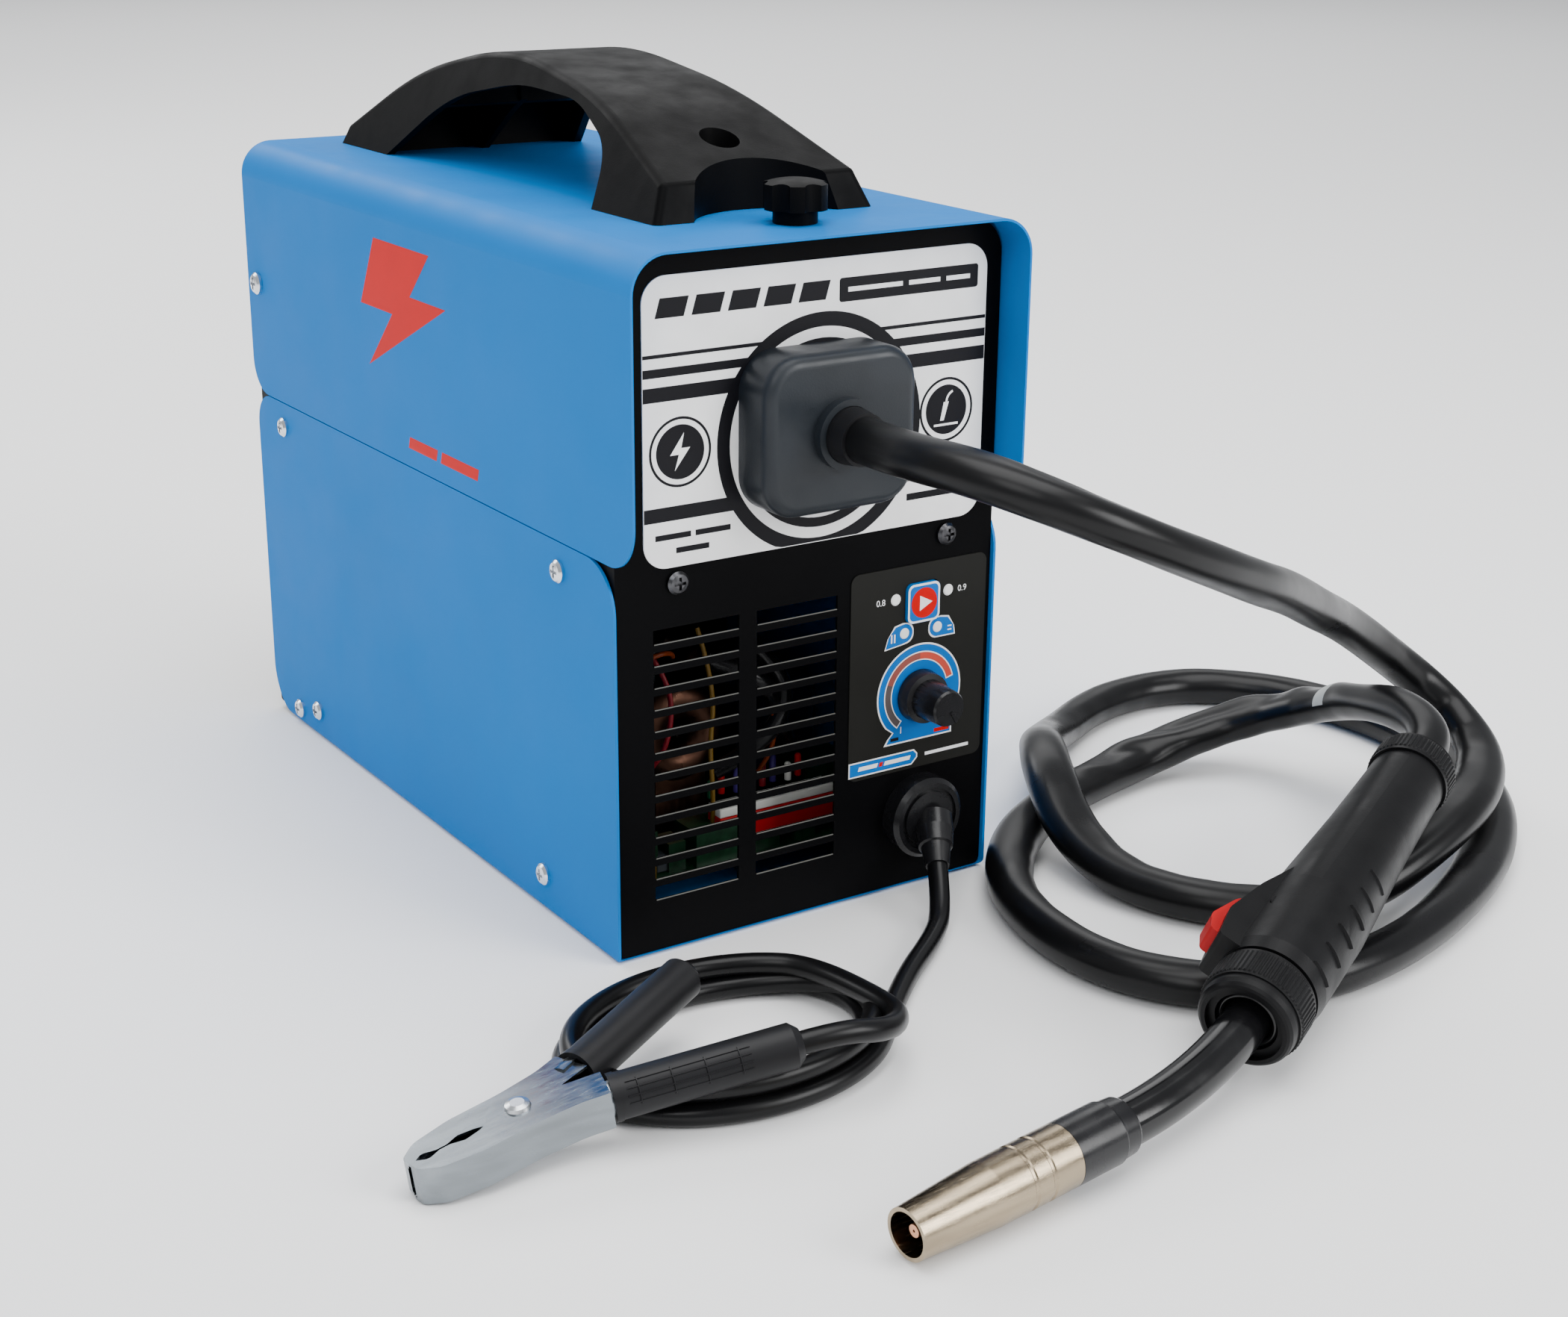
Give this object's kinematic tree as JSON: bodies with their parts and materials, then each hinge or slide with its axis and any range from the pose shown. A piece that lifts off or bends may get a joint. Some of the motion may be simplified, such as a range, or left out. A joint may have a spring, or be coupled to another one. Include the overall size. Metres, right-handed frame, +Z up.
{
  "type": "mig welder",
  "caption": "Portable wire-feed welder in a sheet-metal case with a hinged hood, carrying handle, torch on a flexible cable and spring earth clamp",
  "frame": {"origin": "middle of the case's flat underside", "axes": "+Z up, -Y towards the front panel, +X to the right of someone facing the front panel"},
  "size_m": [0.5882, 0.5951, 0.3303],
  "materials": {
    "blue_paint": "semi-gloss blue powder coat",
    "black_paint": "fine-textured black powder coat",
    "label_white": "printed white film",
    "overlay_film": "printed dark film",
    "screw_zinc": "bright zinc",
    "black_plastic": "moulded, fine grain",
    "boot_rubber": "soft black rubber",
    "cord_rubber": "smooth black sheath",
    "button_blue": "gloss",
    "lens": "translucent white",
    "board": "green laminate",
    "bare_aluminium": "extruded",
    "winding": "enamelled copper winding",
    "can": "sleeved cans",
    "zinc_sheet": "zinc-plated sheet steel",
    "steel": "machined steel",
    "white_plastic": "moulded",
    "red_plastic": "moulded",
    "neck_black": "gloss black sleeve",
    "brass": "turned",
    "copper": "turned copper",
    "nozzle_plate": "nickel-plated copper"
  },
  "bodies": {
    "case": {"lower_shell": "blue_paint", "front_panel": "black_paint", "rear_panel": "black_paint", "mid_shelf": "black_paint", "label_plate": "label_white", "control_overlay": "overlay_film", "case_screws": "screw_zinc", "outlet_housing": "black_plastic", "torch_boot": "boot_rubber", "earth_outlet": "black_plastic", "control_board": "board", "indicator_lenses": "lens", "mains_gland": "black_plastic", "switch_housing": "black_plastic", "fan_frame": "black_plastic", "main_board": "board", "heatsink": "bare_aluminium", "transformer": "winding", "capacitors": "can", "feeder_plate": "zinc_sheet", "feed_motor": "steel", "spool_hub": "black_plastic", "weld_wire": "steel", "torch_cable": "cord_rubber", "torch_grip_left": "black_plastic", "torch_grip_right": "black_plastic", "torch_trigger_pin": "steel", "torch_rear_ring": "black_plastic", "swan_neck": "neck_black", "nozzle_insulator": "black_plastic", "tip_holder": "brass", "contact_tip": "copper", "clamp_arm_lower": "zinc_sheet", "clamp_sleeve_lower": "boot_rubber", "clamp_rivet": "steel", "clamp_spring": "steel", "earth_lead_drop": "cord_rubber", "earth_lead_tail": "cord_rubber", "earth_lead_coil": "cord_rubber"},
    "hood": {"hood": "blue_paint", "handle": "black_plastic", "handle_screws": "screw_zinc"},
    "knob_stud": {"knob_stud": "screw_zinc"},
    "star_knob": {"star_knob": "black_plastic"},
    "spool": {"wire_spool": "white_plastic", "wire_winding": "steel"},
    "drive_roll": {"drive_roll": "steel"},
    "pressure_arm": {"pressure_arm": "zinc_sheet", "tension_spring": "steel"},
    "pressure_roll": {"pressure_roll": "steel"},
    "tension_knob": {"tension_knob": "red_plastic"},
    "fan_rotor": {"fan_rotor": "black_plastic"},
    "select_button": {"select_button": "button_blue"},
    "dial_knob": {"dial_knob": "black_plastic"},
    "rocker": {"rocker": "black_plastic"},
    "torch_trigger": {"torch_trigger": "red_plastic"},
    "torch_front_ring": {"torch_front_ring": "black_plastic"},
    "nozzle": {"nozzle": "nozzle_plate"},
    "clamp_jaw": {"clamp_arm_upper": "zinc_sheet", "clamp_sleeve_upper": "boot_rubber"}
  },
  "joints": [
    {"name": "hood_hinge", "type": "hinge", "parent": "case", "child": "hood", "pos_m": [0, 0.1635, 0.2156], "axis": [-1, 0, 0], "range_deg": [0, 70]},
    {"name": "knob_lift", "type": "slide", "parent": "hood", "child": "knob_stud", "axis": [0, 0, 1], "range_m": [0, 0.006]},
    {"name": "knob_turn", "type": "hinge", "parent": "knob_stud", "child": "star_knob", "pos_m": [0, -0.158, 0.28], "axis": [0, 0, 1], "range_deg": [0, 2160]},
    {"name": "spool_spin", "type": "hinge", "parent": "case", "child": "spool", "pos_m": [0.006, 0.062, 0.222], "axis": [1, 0, 0], "continuous": true},
    {"name": "drive_roll_spin", "type": "hinge", "parent": "case", "child": "drive_roll", "pos_m": [0, -0.116, 0.1906], "axis": [1, 0, 0], "continuous": true},
    {"name": "pressure_arm_lift", "type": "hinge", "parent": "case", "child": "pressure_arm", "pos_m": [0, -0.088, 0.224], "axis": [-1, 0, 0], "range_deg": [0, 25], "stiffness_Nm_per_rad": 0.5, "springref_deg": -28.65},
    {"name": "pressure_roll_spin", "type": "hinge", "parent": "pressure_arm", "child": "pressure_roll", "pos_m": [0, -0.116, 0.2174], "axis": [1, 0, 0], "continuous": true},
    {"name": "tension_knob_turn", "type": "hinge", "parent": "pressure_arm", "child": "tension_knob", "pos_m": [0.0165, -0.142, 0.238], "axis": [0, 0, 1], "range_deg": [-360, 360]},
    {"name": "fan_spin", "type": "hinge", "parent": "case", "child": "fan_rotor", "pos_m": [-0.03, 0.157, 0.072], "axis": [0, 1, 0], "continuous": true},
    {"name": "select_press", "type": "slide", "parent": "case", "child": "select_button", "axis": [0, 1, 0], "range_m": [0, 0.0008], "stiffness_N_per_m": 500, "springref_m": -0.001},
    {"name": "dial_turn", "type": "hinge", "parent": "case", "child": "dial_knob", "pos_m": [0.0535, -0.172, 0.085], "axis": [0, 1, 0], "range_deg": [-300, 0]},
    {"name": "rocker_tilt", "type": "hinge", "parent": "case", "child": "rocker", "pos_m": [0.05, 0.1673, 0.112], "axis": [-1, 0, 0], "range_deg": [0, 22]},
    {"name": "trigger_pull", "type": "hinge", "parent": "case", "child": "torch_trigger", "pos_m": [0.08914, -0.34189, 0.03993], "axis": [0.0013, -0.4579, 0.889], "range_deg": [0, 6], "stiffness_Nm_per_rad": 1, "springref_deg": -5.73},
    {"name": "front_ring_turn", "type": "hinge", "parent": "case", "child": "torch_front_ring", "pos_m": [0.057, -0.37, 0.0255], "axis": [0.8903, 0.4054, 0.2075], "range_deg": [0, 180]},
    {"name": "nozzle_pull", "type": "slide", "parent": "case", "child": "nozzle", "axis": [-0.9945, -0.094, -0.047], "range_m": [0, 0.075]},
    {"name": "clamp_open", "type": "hinge", "parent": "case", "child": "clamp_jaw", "pos_m": [-0.188, -0.281, 0.0134], "axis": [0.1472, 0.0129, -0.989], "range_deg": [0, 6.5], "stiffness_Nm_per_rad": 2, "springref_deg": -22.92}
  ],
  "couplings": [
    {"joint": "knob_turn", "follows": "knob_lift", "rad_per_m": 6283.2},
    {"joint": "drive_roll_spin", "follows": "spool_spin", "ratio": -2.8},
    {"joint": "pressure_roll_spin", "follows": "spool_spin", "ratio": 3.8182}
  ]
}
